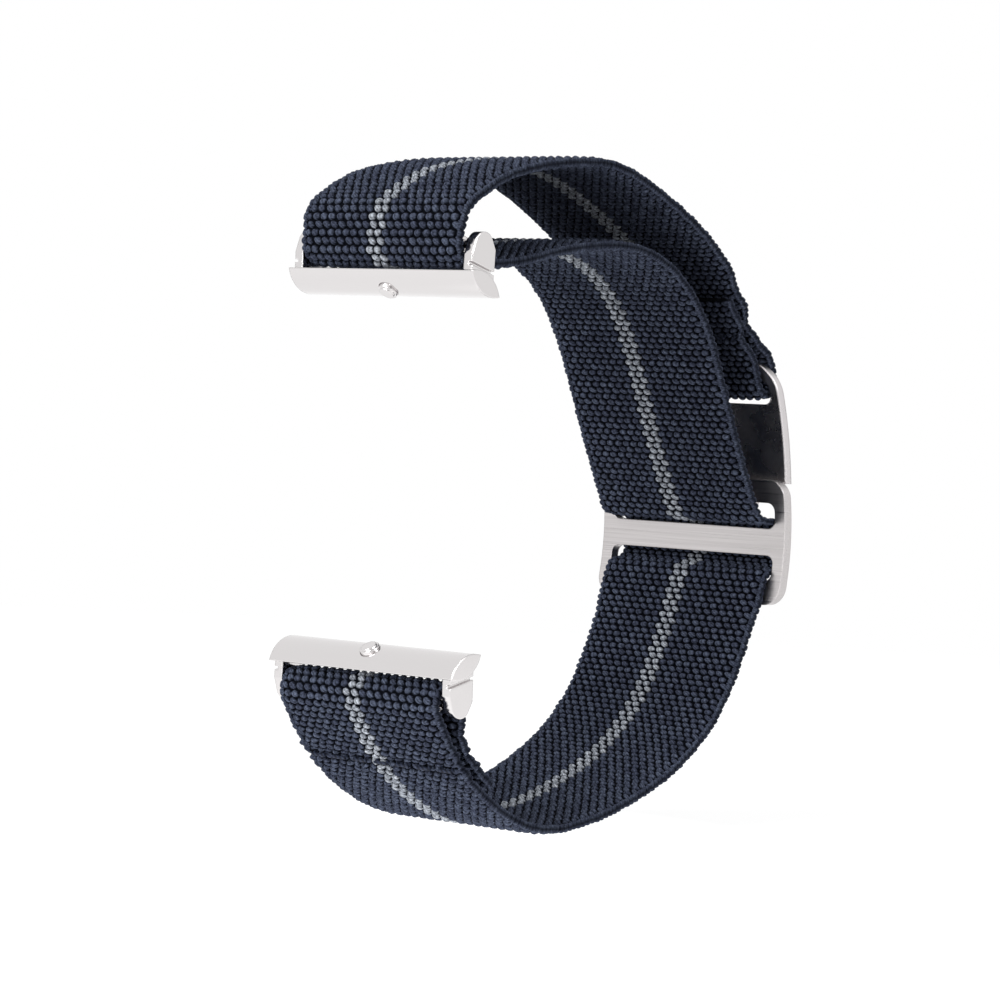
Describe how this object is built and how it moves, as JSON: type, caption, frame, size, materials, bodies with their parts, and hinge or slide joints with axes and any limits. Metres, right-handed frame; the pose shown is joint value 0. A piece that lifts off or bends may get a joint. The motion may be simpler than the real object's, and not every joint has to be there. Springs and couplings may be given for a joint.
{
  "type": "watch strap",
  "caption": "Woven elastic watch strap: webbing on sprung bars in two slide-in rail adapters, threaded through an adjuster frame and closed by a hook plate.",
  "frame": {"origin": "midway between the two rail adapters, where the middle of the watch sits", "axes": "+X across the strap to the side that shows in the picture, +Y from the watch to the back of the wrist, +Z to the adapter above the watch"},
  "size_m": [0.0276, 0.0574, 0.0742],
  "materials": {
    "webbing": "coarse woven elastic webbing with a light grey stripe",
    "thread": "twisted sewing thread",
    "brushed_plate": "fine horizontal brushing, polished sides",
    "polished_steel": "mirror polished",
    "spring_steel": "drawn wire"
  },
  "bodies": {
    "webbing": {"lower_end_loop": "webbing", "lower_strap": "webbing", "webbing_in_adjuster": "webbing", "inner_strap": "webbing", "upper_fold": "webbing", "outer_strap": "webbing", "lower_stitches": "thread", "adjuster_frame": "brushed_plate"},
    "hook": {"hook_plate": "polished_steel", "hook_end_loop": "webbing", "hook_stitches": "thread"},
    "upper_adapter": {"upper_adapter": "polished_steel", "upper_bar_tube": "polished_steel", "upper_bar_spring": "spring_steel", "upper_latch_spring": "spring_steel"},
    "upper_bar_tip_left": {"upper_bar_tip_left": "polished_steel"},
    "upper_bar_tip_right": {"upper_bar_tip_right": "polished_steel"},
    "upper_latch_button": {"upper_latch_button": "polished_steel"},
    "lower_adapter": {"lower_adapter": "polished_steel", "lower_bar_tube": "polished_steel", "lower_bar_spring": "spring_steel", "lower_latch_spring": "spring_steel"},
    "lower_bar_tip_left": {"lower_bar_tip_left": "polished_steel"},
    "lower_bar_tip_right": {"lower_bar_tip_right": "polished_steel"},
    "lower_latch_button": {"lower_latch_button": "polished_steel"}
  },
  "joints": [
    {"name": "upper_adapter_pivot", "type": "hinge", "parent": "webbing", "child": "upper_adapter", "pos_m": [0, -0.0005, 0.0243], "axis": [1, 0, 0], "range_deg": [-60, 20]},
    {"name": "lower_adapter_pivot", "type": "hinge", "parent": "webbing", "child": "lower_adapter", "pos_m": [0, -0.0005, -0.0243], "axis": [-1, 0, 0], "range_deg": [-60, 60]},
    {"name": "upper_bar_tip_left_slide", "type": "slide", "parent": "upper_adapter", "child": "upper_bar_tip_left", "axis": [1, 0, 0], "range_m": [0, 0.00095], "stiffness_N_per_m": 800, "springref_m": -0.001, "deforming": ["upper_bar_spring"]},
    {"name": "upper_bar_tip_right_slide", "type": "slide", "parent": "upper_adapter", "child": "upper_bar_tip_right", "axis": [-1, 0, 0], "range_m": [0, 0.00095], "stiffness_N_per_m": 800, "springref_m": -0.001, "deforming": ["upper_bar_spring"]},
    {"name": "upper_latch_button_press", "type": "slide", "parent": "upper_adapter", "child": "upper_latch_button", "axis": [0, 0.515, 0.8572], "range_m": [0, 0.00045], "stiffness_N_per_m": 900, "springref_m": -0.0003, "deforming": ["upper_latch_spring"]},
    {"name": "lower_bar_tip_left_slide", "type": "slide", "parent": "lower_adapter", "child": "lower_bar_tip_left", "axis": [1, 0, 0], "range_m": [0, 0.00095], "stiffness_N_per_m": 800, "springref_m": -0.001, "deforming": ["lower_bar_spring"]},
    {"name": "lower_bar_tip_right_slide", "type": "slide", "parent": "lower_adapter", "child": "lower_bar_tip_right", "axis": [-1, 0, 0], "range_m": [0, 0.00095], "stiffness_N_per_m": 800, "springref_m": -0.001, "deforming": ["lower_bar_spring"]},
    {"name": "lower_latch_button_press", "type": "slide", "parent": "lower_adapter", "child": "lower_latch_button", "axis": [0, 0.515, -0.8572], "range_m": [0, 0.00045], "stiffness_N_per_m": 900, "springref_m": -0.0003, "deforming": ["lower_latch_spring"]},
    {"name": "hook_release", "type": "slide", "parent": "webbing", "child": "hook", "axis": [0, 0, -1], "range_m": [0, 0.001], "stiffness_N_per_m": 3000, "springref_m": -0.0005, "deforming": ["outer_strap", "webbing_in_adjuster"]}
  ]
}
